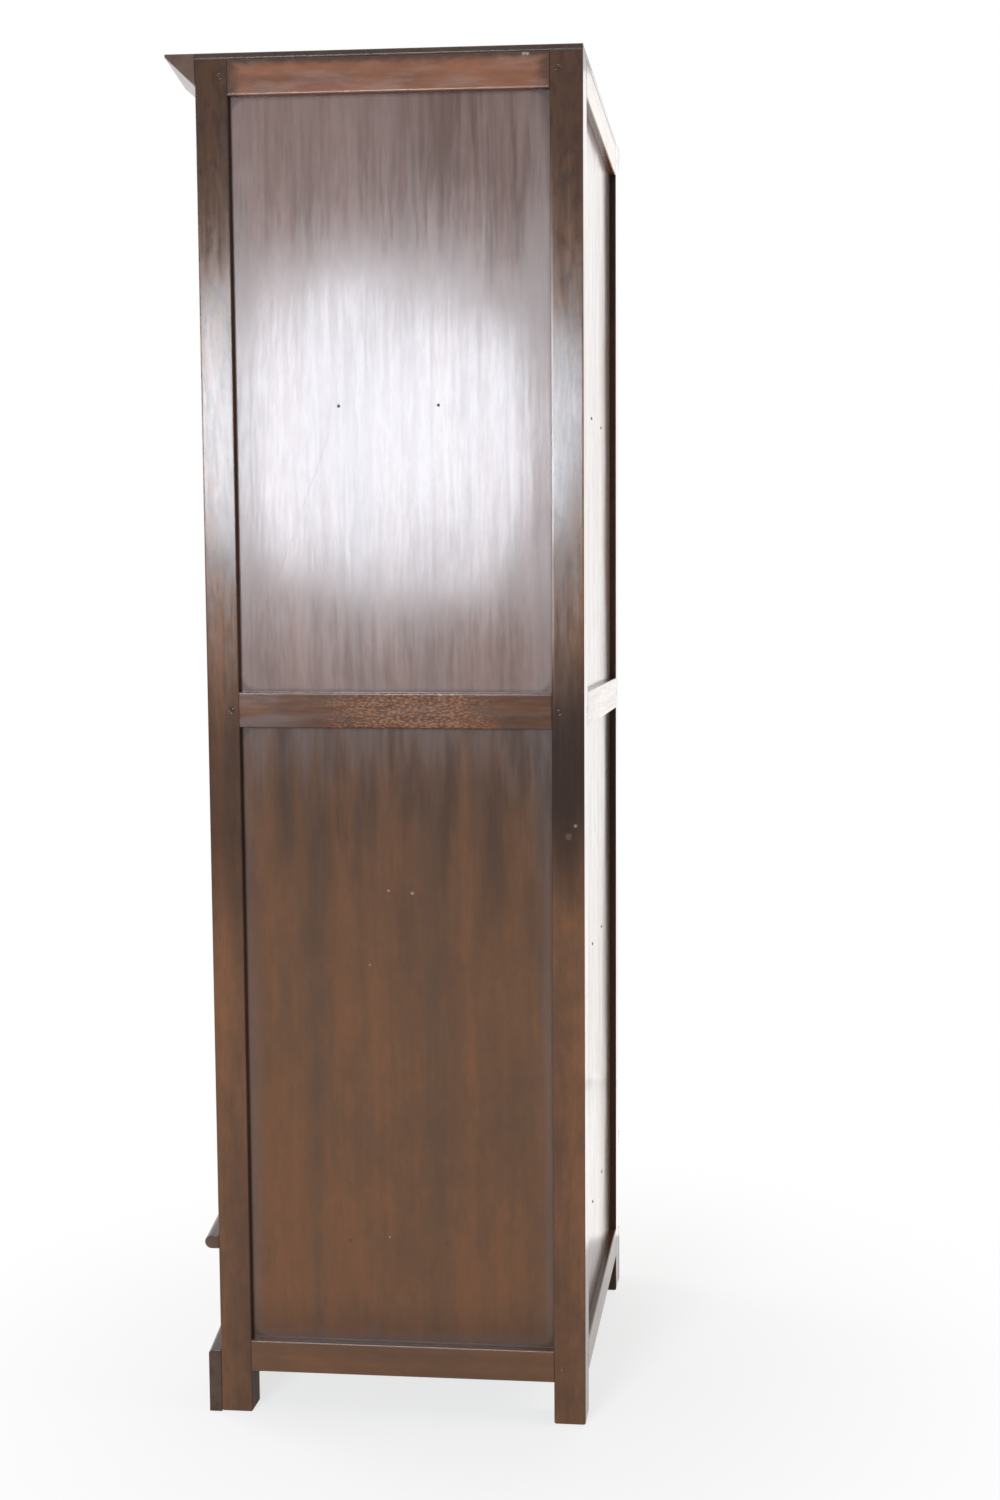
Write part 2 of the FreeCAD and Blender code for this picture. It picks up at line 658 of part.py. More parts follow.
def glazing_beads(level):
    y0 = FRONT_Y + REBATE_LIP + GLASS_THICK
    outer_half, outer_z0, outer_z1 = door_sight(level, REBATE_WIDTH)
    half, z0, z1 = door_sight(level, 0)
    upright = box(-outer_half, -half, y0, y0 + BEAD_DEPTH, outer_z0, outer_z1)
    lower = box(-half, half, y0, y0 + BEAD_DEPTH, outer_z0, z0)
    upper = box(-half, half, y0, y0 + BEAD_DEPTH, z1, outer_z1)
    return [upright, mirrored(upright), lower, upper]


rebate = door_slab(UPPER_DOOR, REBATE_WIDTH, FRONT_Y + REBATE_LIP, INNER_Y)
door_frame("upper_door", UPPER_DOOR, [rebate])
add("upper_door_glass", door_slab(UPPER_DOOR, REBATE_WIDTH - GLASS_ROOM, FRONT_Y + REBATE_LIP,
                                  FRONT_Y + REBATE_LIP + GLASS_THICK))
add("upper_door_glazing_beads", *glazing_beads(UPPER_DOOR))

panel_face = FRONT_Y + (FRONT_THICK - PANEL_THICK) / 2
groove = door_slab(LOWER_DOOR, DOOR_PANEL_TONGUE + GROOVE_ROOM, panel_face, panel_face + PANEL_THICK)
door_frame("lower_door", LOWER_DOOR, [groove])
add("lower_door_panel", door_slab(LOWER_DOOR, DOOR_PANEL_TONGUE, panel_face, panel_face + PANEL_THICK))


# Hinge pieces on the carcass, and the front stiles with their recesses

all_hinges = [z for level in (UPPER_DOOR, LOWER_DOOR) for z in hinge_levels(level)]
add("carcass_hinge_leaves", *[leaf(z, -1, CARCASS_KNUCKLES, PIN_RADIUS) for z in all_hinges])
add("hinge_pins", *[hinge_pin(z) for z in all_hinges])
leaf_recesses = [plate for z in all_hinges for plate in leaf_plates(z, -1, CARCASS_KNUCKLES)]
dimples = [catch_dimple(sum(level) / 2 + CATCH_ABOVE_KNOB) for level in (UPPER_DOOR, LOWER_DOOR)]
add("left_front_stile", cut_all(front_stile(), leaf_recesses))
add("right_front_stile", cut_all(mirrored(front_stile()), dimples))


# Drawer and its runners

SIDE_OUTER = OPENING_HALF - DRAWER_SIDE_ROOM
SIDE_INNER = SIDE_OUTER - DRAWER_SIDE
SIDE_BACK_Y = wall_inner_y(SIDE_OUTER, PANEL_BACK) - DRAWER_BACK_ROOM
SIDE_Z = DRAWER_SILL + RUNNER_ROOM
DRAWER_TOP = LEDGE_Z - DOOR_GAP
BOTTOM_Z = SIDE_Z + DRAWER_BOTTOM_UP


def drawer_bottom(room):
    half = SIDE_INNER + DRAWER_GROOVE + room
    return box(-half, half, INNER_Y - DRAWER_GROOVE - room, SIDE_BACK_Y, BOTTOM_Z, BOTTOM_Z + DRAWER_BOTTOM)


def drawer_side():
    return box(-SIDE_OUTER, -SIDE_INNER, INNER_Y - DRAWER_HOUSING, SIDE_BACK_Y, SIDE_Z, DRAWER_TOP)


def drawer_front():
    blank = box(-DOOR_HALF, DOOR_HALF, FRONT_Y, INNER_Y, DRAWER_SILL + DOOR_GAP, DRAWER_TOP)
    blank = ease(blank, EDGE_ROUND, lambda point: near(point.y, FRONT_Y))
    housings = [drawer_side(), mirrored(drawer_side()), drawer_bottom(GROOVE_ROOM)]
    return cut_all(blank, housings + [spigot_hole(x, DRAWER_KNOB_Z) for x in DRAWER_KNOBS_X])


def drawer_runner():
    x0 = -SIDE_INNER - DRAWER_SIDE / 2 - RUNNER_WIDTH / 2
    x1 = x0 + RUNNER_WIDTH
    plan = [(x0, INNER_Y), (x1, INNER_Y),
            (x1, wall_inner_y(x1, RAIL_DEPTH)), (x0, wall_inner_y(x0, RAIL_DEPTH))]
    return prism(plan, DRAWER_SILL - RUNNER_HEIGHT, DRAWER_SILL)


DRAWER_KNOB_Z = (DRAWER_SILL + DOOR_GAP + DRAWER_TOP) / 2
DRAWER_KNOBS_X = (-DRAWER_KNOB_SPACING / 2, DRAWER_KNOB_SPACING / 2)
side = drawer_side().cut(drawer_bottom(GROOVE_ROOM))
add("drawer_front", drawer_front())
add("drawer_sides", side, mirrored(side))
add("drawer_back", box(-SIDE_INNER, SIDE_INNER, SIDE_BACK_Y - DRAWER_SIDE, SIDE_BACK_Y,
                       BOTTOM_Z + DRAWER_BOTTOM, DRAWER_TOP))
add("drawer_bottom", drawer_bottom(0))
add("drawer_knobs", *[knob(x, DRAWER_KNOB_Z) for x in DRAWER_KNOBS_X])
add("drawer_runners", drawer_runner(), mirrored(drawer_runner()))


# One file for each piece

os.makedirs("parts", exist_ok=True)
for name, shape in parts.items():
    shape.exportStep("parts/" + name + ".step")
    print(name, len(shape.Solids), round(shape.Volume))
print(len(parts), "pieces")
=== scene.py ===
# %% [markdown]
# # A corner cabinet, finished in Blender
# The cabinet's pieces come ready made, at their real size and in their real places. This lesson gives them
# their looks: dark stained wood under worn varnish, brass, iron and glass, then a camera, a floor and light.
# A finish is a small network of nodes here, never a picture, so it stays sharp however close one looks.

# %% Load the frame
import math

import bpy
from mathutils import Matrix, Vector


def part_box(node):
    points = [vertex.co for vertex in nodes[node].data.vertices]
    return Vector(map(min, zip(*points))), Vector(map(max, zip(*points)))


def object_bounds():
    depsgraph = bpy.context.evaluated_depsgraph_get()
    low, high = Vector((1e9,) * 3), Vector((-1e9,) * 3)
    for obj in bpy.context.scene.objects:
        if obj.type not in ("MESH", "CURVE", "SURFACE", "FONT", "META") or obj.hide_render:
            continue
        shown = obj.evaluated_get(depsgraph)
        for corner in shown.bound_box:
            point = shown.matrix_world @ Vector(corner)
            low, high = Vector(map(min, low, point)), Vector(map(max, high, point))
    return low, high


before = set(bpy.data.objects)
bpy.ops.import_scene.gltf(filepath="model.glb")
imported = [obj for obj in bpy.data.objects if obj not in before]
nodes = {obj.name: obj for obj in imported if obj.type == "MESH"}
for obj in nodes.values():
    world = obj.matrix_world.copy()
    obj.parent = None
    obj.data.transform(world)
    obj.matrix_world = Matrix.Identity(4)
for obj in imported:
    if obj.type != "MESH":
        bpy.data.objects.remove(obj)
cad_low, cad_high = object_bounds()

# %% [markdown]
# ## The camera
# The photograph looks at the back of the cabinet, from a little over half its height, so one wall side fills
# the view and the other is a narrow strip. One could aim a camera by eye. Here its place, tilt and lens were
# found by fitting the cabinet's measured corners, and the lens is shifted sideways because the cabinet
# stands left of the middle of the picture.

# %% Camera
IMAGE_WIDTH = 1000
IMAGE_HEIGHT = 1500
LENS_COLUMN = 624              # image column that the lens looks straight along
LENS_MM = 41.444
CAMERA_PLACE = (1.4842, 2.10605, 1.1715)
CAMERA_TILT = math.radians(85.056)
CAMERA_HEADING = math.radians(139.883)

camera_data = bpy.data.cameras.new("camera")
camera_data.lens = LENS_MM
camera_data.shift_x = (IMAGE_WIDTH / 2 - LENS_COLUMN) / IMAGE_HEIGHT
camera = bpy.data.objects.new("camera", camera_data)
camera.location = CAMERA_PLACE
camera.rotation_euler = (CAMERA_TILT, 0, CAMERA_HEADING)
bpy.context.scene.collection.objects.link(camera)
bpy.context.scene.camera = camera
bpy.context.scene.view_settings.view_transform = "Standard"
print("camera", tuple(round(v, 3) for v in camera.location), "shift", round(camera_data.shift_x, 4))

# %% [markdown]
# ## A way to write finishes
# Each finish is made of the same few kinds of node: coordinates, noise, sums, mixes and ramps. Wiring them
# one by one takes many lines, so a small class gives each kind a short name. A value may be a plain number or
# the output of another node, and the class links or sets it as needed.

# %% Finish helper
class Finish:
    """One material, with short names for the nodes that it is made of."""

    def __init__(self, name):
        self.material = bpy.data.materials.new(name)
        self.material.use_nodes = True
        self.tree = self.material.node_tree
        self.shader = self.tree.nodes["Principled BSDF"]

    def put(self, socket, value):
        if isinstance(value, bpy.types.NodeSocket):
            self.tree.links.new(value, socket)
        else:
            socket.default_value = value

    def set(self, **values):
        """Set the shader's own inputs: underscores stand for the spaces in their names."""
        for key, value in values.items():
            self.put(self.shader.inputs[key.replace("_", " ")], value)

    def show(self, shader):
        """Let the surface show a shader node in place of the plain one."""
        self.put(self.tree.nodes["Material Output"].inputs["Surface"], shader.outputs[0])

    def node(self, kind, *values, **settings):
        made = self.tree.nodes.new("ShaderNode" + kind)
        for key, value in settings.items():
            setattr(made, key, value)
        for socket, value in zip(made.inputs, values):
            self.put(socket, value)
        return made

    def math(self, operation, *values):
        return self.node("Math", *values, operation=operation).outputs[0]

    def times(self, first, second):
        return self.math("MULTIPLY", first, second)

    def vector(self, operation, *values):
        return self.node("VectorMath", *values, operation=operation).outputs[0]

    def measure(self, operation, *values):
        """A vector operation that gives one number, such as a length."""
        return self.node("VectorMath", *values, operation=operation).outputs["Value"]

    def parts(self, vector):
        """The three numbers of a vector."""
        return self.node("SeparateXYZ", vector).outputs

    def blend(self, *weighted):
        """The sum of values, each times its weight."""
        total = 0.0
        for value, weight in weighted:
            total = self.math("MULTIPLY_ADD", value, weight, total)
        return total

    def between(self, value, low, high, to_low=0.0, to_high=1.0):
        """Rescale a value from one range to another, eased at both ends."""
        return self.node("MapRange", value, low, high, to_low, to_high,
                         interpolation_type="SMOOTHSTEP").outputs[0]

    def noise(self, place, across, along, detail=4.0, roughness=0.55):
        """Noise in cycles per metre across and along the grain."""
        stretched = self.vector("MULTIPLY", place, (across, across, along))
        made = self.node("TexNoise", stretched)
        made.inputs["Scale"].default_value = 1.0
        made.inputs["Detail"].default_value = detail
        made.inputs["Roughness"].default_value = roughness
        return made.outputs[0]

    def mix(self, factor, first, second):
        """A colour between two others."""
        made = self.tree.nodes.new("ShaderNodeMix")
        made.data_type = "RGBA"
        self.put(made.inputs[0], factor)
        self.put(made.inputs[6], first)
        self.put(made.inputs[7], second)
        return made.outputs[2]

    def ramp(self, value, *stops):
        made = self.node("ValToRGB", value)
        elements = made.color_ramp.elements
        while len(elements) < len(stops):
            elements.new(0.5)
        for element, (position, colour) in zip(elements, stops):
            element.position = position
            element.color = colour
        return made.outputs[0]


def tone(red, green, blue):
    """A colour written as it looks on a screen, 0 to 255, as the linear numbers that nodes take."""
    values = []
    for part in (red, green, blue):
        share = part / 255
        values.append(share / 12.92 if share <= 0.04045 else ((share + 0.055) / 1.055) ** 2.4)
    return (*values, 1.0)


print("middle grey is", round(tone(119, 119, 119)[0], 3), "in linear light")

# %% [markdown]
# ## Floor and background
# The photograph has a plain white ground with no room in it. A bright world would light the cabinet too
# strongly, so the white is only what the eye, a mirror or a pane sees: the Light Path node tells those rays
# from the ones that light the wood. The floor is mostly the same white under the cabinet, which leaves a soft
# shadow there, and all white further out.

# %% World
AMBIENT = 0.3                  # light from all round, as a share of white
WHITE = (1, 1, 1, 1)


def seen_directly(tree):
    """1 for rays from the eye, from gloss and through glass, 0 for rays that gather light."""
    path = tree.nodes.new("ShaderNodeLightPath")
    total = path.outputs["Is Camera Ray"]
    for name in ("Is Glossy Ray", "Is Transmission Ray"):
        larger = tree.nodes.new("ShaderNodeMath")
        larger.operation = "MAXIMUM"
        tree.links.new(total, larger.inputs[0])
        tree.links.new(path.outputs[name], larger.inputs[1])
        total = larger.outputs[0]
    return total


world = bpy.data.worlds.new("studio")
bpy.context.scene.world = world
world.use_nodes = True
sky = world.node_tree
ambient = sky.nodes["Background"]
ambient.inputs["Color"].default_value = WHITE
ambient.inputs["Strength"].default_value = AMBIENT
white_sky = sky.nodes.new("ShaderNodeBackground")
white_sky.inputs["Color"].default_value = WHITE
chosen = sky.nodes.new("ShaderNodeMixShader")
sky.links.new(seen_directly(sky), chosen.inputs["Fac"])
sky.links.new(ambient.outputs[0], chosen.inputs[1])
sky.links.new(white_sky.outputs[0], chosen.inputs[2])
sky.links.new(chosen.outputs[0], sky.nodes["World Output"].inputs["Surface"])
print("ambient light", AMBIENT)

# %% Floor
FLOOR_SIZE = 14.0
FLOOR_TONE = tone(232, 232, 232)
FLOOR_ROUGH = 0.9
FLOOR_WHITE = 0.72             # share of the floor's look that is plain white under the cabinet
SHADOW_REACH = (0.2, 1.1)      # metres from the middle between which the floor turns all white

half = FLOOR_SIZE / 2
floor_mesh = bpy.data.meshes.new("floor")
floor_mesh.from_pydata([(-half, -half, 0), (half, -half, 0), (half, half, 0), (-half, half, 0)],
                       [], [(0, 1, 2, 3)])
floor = bpy.data.objects.new("floor", floor_mesh)
bpy.context.scene.collection.objects.link(floor)
pale = Finish("pale_floor")
pale.set(Base_Color=FLOOR_TONE, Roughness=FLOOR_ROUGH, Specular_IOR_Level=0.0)
glow = pale.node("Emission")
away = pale.measure("LENGTH", pale.node("TexCoord").outputs["Object"])
share = pale.between(away, *SHADOW_REACH, FLOOR_WHITE, 1.0)
part_white = pale.times(seen_directly(pale.tree), share)
pale.show(pale.node("MixShader", part_white, pale.shader.outputs[0], glow.outputs[0]))
floor_mesh.materials.append(pale.material)
print("floor", FLOOR_SIZE, "m wide")

# %% [markdown]
# ## Studio light
# A soft lamp behind the camera makes the broad white sheen in the upper panel. A surface mirrors a lamp where
# it sees the lamp and the camera at the same angle, so the lamp's place is worked out from the place of that
# sheen: go from the camera to the sheen, turn back at the wall as a ball would, and stop at the lamp. The
# other wall is seen at a slant and is nearly white, so a large dim card of light stands where it mirrors to,
# and a second one lies on the floor in front of the first, for the wall's foot.
# Two more lamps light the doors and the other wall, for whoever walks round the cabinet.

# %% Lamps
BACK_CORNER = Vector((0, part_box("back_corner_post")[1].y, 0))
WALL_ALONG = Vector((1, -1, 0)).normalized()      # the near wall, from the back corner to the front
WALL_OUT = Vector((1, 1, 0)).normalized()         # straight out of the near wall
STRAIGHT_UP = Vector((0, 0, 1))
COOL_WHITE = (0.84, 0.91, 1.0)
WARM_WHITE = (1.0, 0.97, 0.94)
SHEEN_ALONG = 0.283
SHEEN_HEIGHT = 1.399
SHEEN_LAMP_AWAY = 5.0
SHEEN_LAMP_SIZE = (1.85, 1.34)
SHEEN_LAMP_POWER = 282.0
CARD_PLACE = Vector((-1.25, -0.75, 1.2))
CARD_AIM = Vector((-0.19, 0.06, 1.2))             # near the middle of the other wall
CARD_SIZE = (1.9, 2.3)
CARD_POWER = 11.0
FLOOR_CARD_PLACE = Vector((-0.9, -0.45, 0.02))
FLOOR_CARD_SIZE = (0.8, 1.1)
FLOOR_CARD_POWER = 2.4
DOOR_LAMP_PLACE = Vector((1.3, -3.0, 2.0))
FAR_WALL_LAMP_PLACE = Vector((-2.3, 2.5, 2.0))
FILL_SIZE = (1.4, 1.4)
FILL_POWER = 50.0


def softbox(name, place, aim, size, power, colour=WARM_WHITE, shape="RECTANGLE"):
    data = bpy.data.lights.new(name, "AREA")
    data.shape = shape
    data.size, data.size_y = size
    data.energy = power
    data.color = colour
    lamp = bpy.data.objects.new(name, data)
    lamp.location = place
    lamp.rotation_mode = "QUATERNION"
    lamp.rotation_quaternion = (aim - place).to_track_quat("-Z", "Y")
    lamp.visible_camera = False
    bpy.context.scene.collection.objects.link(lamp)
    print(name, "at", tuple(round(v, 2) for v in place))


sheen = BACK_CORNER + WALL_ALONG * SHEEN_ALONG + STRAIGHT_UP * SHEEN_HEIGHT
to_sheen = sheen - camera.location
bounced = to_sheen.reflect(WALL_OUT)
sheen_lamp = sheen + bounced * (SHEEN_LAMP_AWAY / bounced.dot(WALL_OUT))
middle = (cad_low + cad_high) / 2
above_card = FLOOR_CARD_PLACE + STRAIGHT_UP
softbox("sheen_lamp", sheen_lamp, sheen, SHEEN_LAMP_SIZE, SHEEN_LAMP_POWER, COOL_WHITE, "ELLIPSE")
softbox("door_lamp", DOOR_LAMP_PLACE, middle, FILL_SIZE, FILL_POWER)
softbox("far_wall_lamp", FAR_WALL_LAMP_PLACE, middle, FILL_SIZE, FILL_POWER)
softbox("side_card", CARD_PLACE, CARD_AIM, CARD_SIZE, CARD_POWER)
softbox("floor_card", FLOOR_CARD_PLACE, above_card, FLOOR_CARD_SIZE, FLOOR_CARD_POWER)

# %% [markdown]
# ## Where the grain runs
# A joiner lays the grain along each board: upright in posts and panels, lengthwise in rails. The noise that
# makes grain has to follow it, so each finish starts from coordinates whose third number runs along the
# board. The two walls stand at 45 degrees, and one formula serves both: the distance along a wall from the
# back corner, the depth behind its face, and the height. Each piece also gets its own offset, so that no two
# boards look cut from the same stretch of tree.

# %% Board coordinates
DIAGONAL = math.sqrt(0.5)
BOARD_SPREAD = 7.0             # metres of imaginary tree between one board and the next
ALONG, BEHIND, UP = 0, 1, 2


def room_space(finish):
    return finish.node("TexCoord").outputs["Object"]


def wall_space(finish):
    """(along the wall, behind its face, up), the same for both walls."""
    x, y, z = finish.parts(room_space(finish))
    side = finish.math("ABSOLUTE", x)
    back = finish.math("SUBTRACT", BACK_CORNER.y, y)
    along = finish.times(finish.math("ADD", back, side), DIAGONAL)
    behind = finish.times(finish.math("SUBTRACT", back, side), DIAGONAL)
    return finish.node("CombineXYZ", along, behind, z).outputs[0]


def board(finish, space, grain):
    """Coordinates of one board, with the grain along the third one. grain is 0, 1 or 2 of that space."""
    parts = finish.parts(space)
    order = [axis for axis in range(3) if axis != grain] + [grain]
    turned = finish.node("CombineXYZ", *[parts[axis] for axis in order]).outputs[0]
    info = finish.node("ObjectInfo")
    offset = finish.times(info.outputs["Random"], BOARD_SPREAD)
    return finish.vector("ADD", turned, offset)


print("walls meet at y =", round(BACK_CORNER.y, 4))

# %% [markdown]
# ## Stained wood
# The stain sank into the wood unevenly: soft bands as wide as two fingers, clouds, blotches and a fine
# mottle, and then streaks and fibres, which show best where light glances off. Six noises, each stretched
# along the grain, are summed, and a ramp turns the sum into three tones. Wood could also be cut from a solid
# noise of growth rings, but under a dark stain the rings are hidden, and the stain's own bands are what one
# sees.

# %% Wood grain
STAIN_RANGE = (0.36, 0.64)     # the part of the summed noise that is spread over the three tones
FIBRE_RANGE = (0.5, 0.72)      # the part of the fibres' noise that turns into dark lines
FIBRE_SHARE = 0.35             # how dark those lines are


def grain_of(finish, place, tones):
    """The colour of stained wood and the height of its fibres."""
    bands = finish.noise(place, 24, 0.9, detail=3)
    clouds = finish.noise(place, 7, 3, detail=2)
    blotches = finish.noise(place, 42, 18, detail=4)
    mottle = finish.noise(place, 140, 60, detail=3)
    streaks = finish.noise(place, 110, 7, detail=2)
    fibres = finish.noise(place, 320, 34, detail=3)
    total = finish.blend((bands, 0.33), (clouds, 0.24), (blotches, 0.2), (mottle, 0.1), (streaks, 0.07),
                         (fibres, 0.06))
    total = finish.between(total, *STAIN_RANGE)
    dark, even, warm = tones
    colour = finish.ramp(total, (0.0, dark), (0.5, even), (1.0, warm))
    lines = finish.between(fibres, *FIBRE_RANGE, 0, FIBRE_SHARE)
    return finish.mix(lines, colour, dark), fibres


print("fibres darken the stain by up to", FIBRE_SHARE)

# %% [markdown]
# ## Varnish and wear
# The varnish is semi-gloss. Its level edges are pale, partly where hands and cloths rubbed it thin and partly
# as a painted highlight of light glancing off them: the Bevel node feels for nearby edges, and the difference
# between its rounded normal and the true one marks them. The panels do without it: their edges lie hidden in
# grooves, and it would only feel the rims of the nail holes.
# The fibres and a slow wave, left by brush and plane, tilt the gloss a little, and the brush left it smoother
# in some strokes than in others, which breaks the sheen into upright streaks.

# %% Wear
EDGE_REACH = 0.003             # metres over which an edge looks worn and highlit
EDGE_SAMPLES = 4
EDGE_TURN = (0.995, 0.85)      # cosines of the normal's turn at which the pale edge begins and is full
LEVEL_EDGE = (0.1, 0.35)       # how far the rounded normal tilts up or down at a level edge
PALE_EDGE_RANGE = (0.25, 0.6)       # the part of a noise that makes the pale edges patchy
LEAST_PALE_EDGE = 0.3               # share of the pale edge that is left between the patches
INWARD = (-0.03, -0.01)        # dot products of a face's normal and its place, from inward to outward
# A pale tone for worn edges, which also paints the highlight of light glancing off them.
WORN_AND_HIGHLIT_TONE = tone(190, 170, 160)


def worn_and_highlit_edges(finish, place, eased, strength):
    """1 on level edges, pale from wear and from a painted highlight. Upright ones stay dark."""
    true_normal = finish.node("NewGeometry").outputs["Normal"]
    edge = finish.between(finish.measure("DOT_PRODUCT", eased, true_normal), *EDGE_TURN)
    upward = finish.math("ABSOLUTE", finish.parts(eased)[2])
    edge = finish.math("MINIMUM", edge, finish.between(upward, *LEVEL_EDGE))
    patchy = finish.between(finish.noise(place, 60, 14, detail=3), *PALE_EDGE_RANGE, LEAST_PALE_EDGE, 1)
    return finish.times(finish.times(edge, patchy), strength)


def looks_inward(finish):
    """1 on faces turned towards the cabinet's middle, 0 on the others."""
    coordinates = finish.node("TexCoord").outputs
    out = finish.vector("MULTIPLY", coordinates["Object"], (1, 1, 0))
    return finish.between(finish.measure("DOT_PRODUCT", coordinates["Normal"], out), *INWARD, 1, 0)


print("an edge is rubbed over", EDGE_REACH * 1000, "mm")

# %% Varnish
VARNISH_ROUGH = 0.162
VARNISH_GLOSS = 0.275          # the shader's specular level, which starts out at 0.5
GLOSS_SPREAD = 0.032           # how much smoother or rougher the brush left the varnish
STROKE_RANGE = (0.34, 0.66)    # the part of the strokes' noise that is spread over that
FIBRE_PRESS = 0.00002          # depth of the fibres in the surface
WAVE_PRESS = 0.002             # height of the slow wave
FILM_ROUGH = 0.1               # how much rougher a film of dirt makes the varnish
# Faces that look into the cabinet are rougher, and their colour is darkened as painted shade.
RAW_ROUGH = 0.6                # the faces that look into the cabinet were never polished
INWARD_SHADE = 0.5                # and their colour is drawn this far towards a near-black tone, as painted shade
INWARD_SHADE_TONE = tone(20, 14, 11)
EDGE_WEAR_AND_HIGHLIGHT = 0.3                 # how pale edges are, from wear and a painted highlight
HIDDEN = None                  # the pale edges of a panel, whose edges lie in grooves


def pressed(finish, height, distance, under):
    """A bumped normal on top of another one."""
    made = finish.node("Bump")
    made.inputs["Distance"].default_value = distance
    finish.put(made.inputs["Height"], height)
    finish.put(made.inputs["Normal"], under)
    return made.outputs[0]


def varnish(finish, place, colour, fibres, rough, shade, wear_and_highlight, dull):
    """The colour, roughness and normal of wood under varnish."""
    if wear_and_highlight is HIDDEN:
        eased = finish.node("NewGeometry").outputs["Normal"]
    else:
        eased = finish.node("Bevel", EDGE_REACH, samples=EDGE_SAMPLES).outputs[0]
        # Pale level edges: wear, and a painted highlight.
        colour = finish.mix(worn_and_highlit_edges(finish, place, eased, wear_and_highlight), colour, WORN_AND_HIGHLIT_TONE)
    wave = finish.noise(place, 6, 3.5, detail=1)
    normal = pressed(finish, fibres, FIBRE_PRESS, pressed(finish, wave, WAVE_PRESS, eased))
    short_strokes = finish.noise(place, 200, 28, detail=2)
    long_strokes = finish.noise(place, 95, 4, detail=3)
    strokes = finish.blend((short_strokes, 0.5), (long_strokes, 0.5))
    roughness = finish.between(strokes, *STROKE_RANGE, rough - GLOSS_SPREAD, rough + GLOSS_SPREAD)
    inward_face = looks_inward(finish)
    roughness = finish.blend((roughness, 1), (inward_face, RAW_ROUGH - rough), (dull, FILM_ROUGH))
    # Painted shade on the faces that look into the cabinet.
    colour = finish.mix(finish.times(inward_face, shade), colour, INWARD_SHADE_TONE)
    finish.set(Base_Color=colour, Roughness=roughness, Normal=normal)


def stained(name, space, grain, tones, rough=VARNISH_ROUGH, marks=None, shade=INWARD_SHADE, wear_and_highlight=EDGE_WEAR_AND_HIGHLIGHT,
            gloss=VARNISH_GLOSS):
    """A stained and varnished wood. marks, if given, adds what has happened to the piece since: it gives the
    new colour and how dull the varnish is."""
    finish = Finish(name)
    where = space(finish)
    place = board(finish, where, grain)
    colour, fibres = grain_of(finish, place, tones)
    dull = 0.0
    if marks:
        colour, dull = marks(finish, where, place, colour)
    varnish(finish, place, colour, fibres, rough, shade, wear_and_highlight, dull)
    finish.set(Specular_IOR_Level=gloss)
    return finish.material


print("varnish roughness", VARNISH_ROUGH, "give or take", GLOSS_SPREAD)

# %% [markdown]
# ## Places on the walls
# The next finishes need to know where a panel begins and ends. The frame tells: the rails give the heights,
# the post and the leg give the widths. The distance inside a rectangle with round corners is a small formula,
# and chips in the varnish are small ragged spots at measured places on the near wall.

# %% Places
POST_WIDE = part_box("back_corner_post")[1].x / DIAGONAL
WALL_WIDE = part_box("right_front_leg")[1].x / DIAGONAL
CORNER_ROUND = 0.025           # radius of the corners of the film on a panel
ANY_DEPTH = 1                  # metres, more than any panel's depth
NEAR_SIDE = (0, 0.001)         # x at which the near wall begins
CHIP_TONE = tone(150, 128, 114)
# Each chip: metres along the wall, height, radius and how pale it is.
PANEL_CHIPS = ((0.278, 0.765, 0.0026, 0.6), (0.244, 0.762, 0.003, 0.6), (0.306, 0.659, 0.002, 0.5),
               (0.282, 0.264, 0.002, 0.6))
RAIL_CHIPS = ((0.074, 1.8985, 0.003, 0.8), (0.079, 1.899, 0.003, 0.8))
POST_CHIPS = ((0.012, 0.861, 0.003, 0.5), (0.022, 0.846, 0.006, 0.14))


def rail_levels(name):
    """The heights of the lower and upper edge of a wall's rail."""
    low_corner, high_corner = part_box(f"right_wall_{name}_rail")
    return low_corner.z, high_corner.z


def inside_panel(finish, wall, bottom, top):
    """Metres from a panel's border inwards, no further than the corners' radius."""
    centre = (WALL_WIDE / 2, 0, (bottom + top) / 2)
    straight = (WALL_WIDE / 2 - POST_WIDE - CORNER_ROUND, ANY_DEPTH, (top - bottom) / 2 - CORNER_ROUND)
    off_centre = finish.vector("ABSOLUTE", finish.vector("SUBTRACT", wall, centre))
    over = finish.vector("MAXIMUM", finish.vector("SUBTRACT", off_centre, straight), (0, 0, 0))
    return finish.math("SUBTRACT", CORNER_ROUND, finish.measure("LENGTH", over))


def chipped(finish, colour, chips):
    """A colour with pale ragged chips in it, on the near wall only."""
    wall = wall_space(finish)
    near_wall = finish.between(finish.parts(room_space(finish))[0], *NEAR_SIDE)
    crumbled = finish.noise(wall, 420, 420, detail=2)
    total = 0.0
    for along, up, radius, pale_share in chips:
        off_chip = finish.vector("MULTIPLY", finish.vector("SUBTRACT", wall, (along, 0, up)), (1, 0, 1))
        ragged = finish.blend((finish.measure("LENGTH", off_chip), 1), (crumbled, radius), (radius, -0.5))
        total = finish.math("MAXIMUM", total, finish.between(ragged, radius / 2, radius, pale_share, 0))
    return finish.mix(finish.times(total, near_wall), colour, CHIP_TONE)


bottom_rail, middle_rail, top_rail = [rail_levels(name) for name in ("bottom", "middle", "top")]
print("panels run from", round(bottom_rail[1], 3), "to", round(middle_rail[0], 3), "and from",
      round(middle_rail[1], 3), "to", round(top_rail[0], 3), "m")
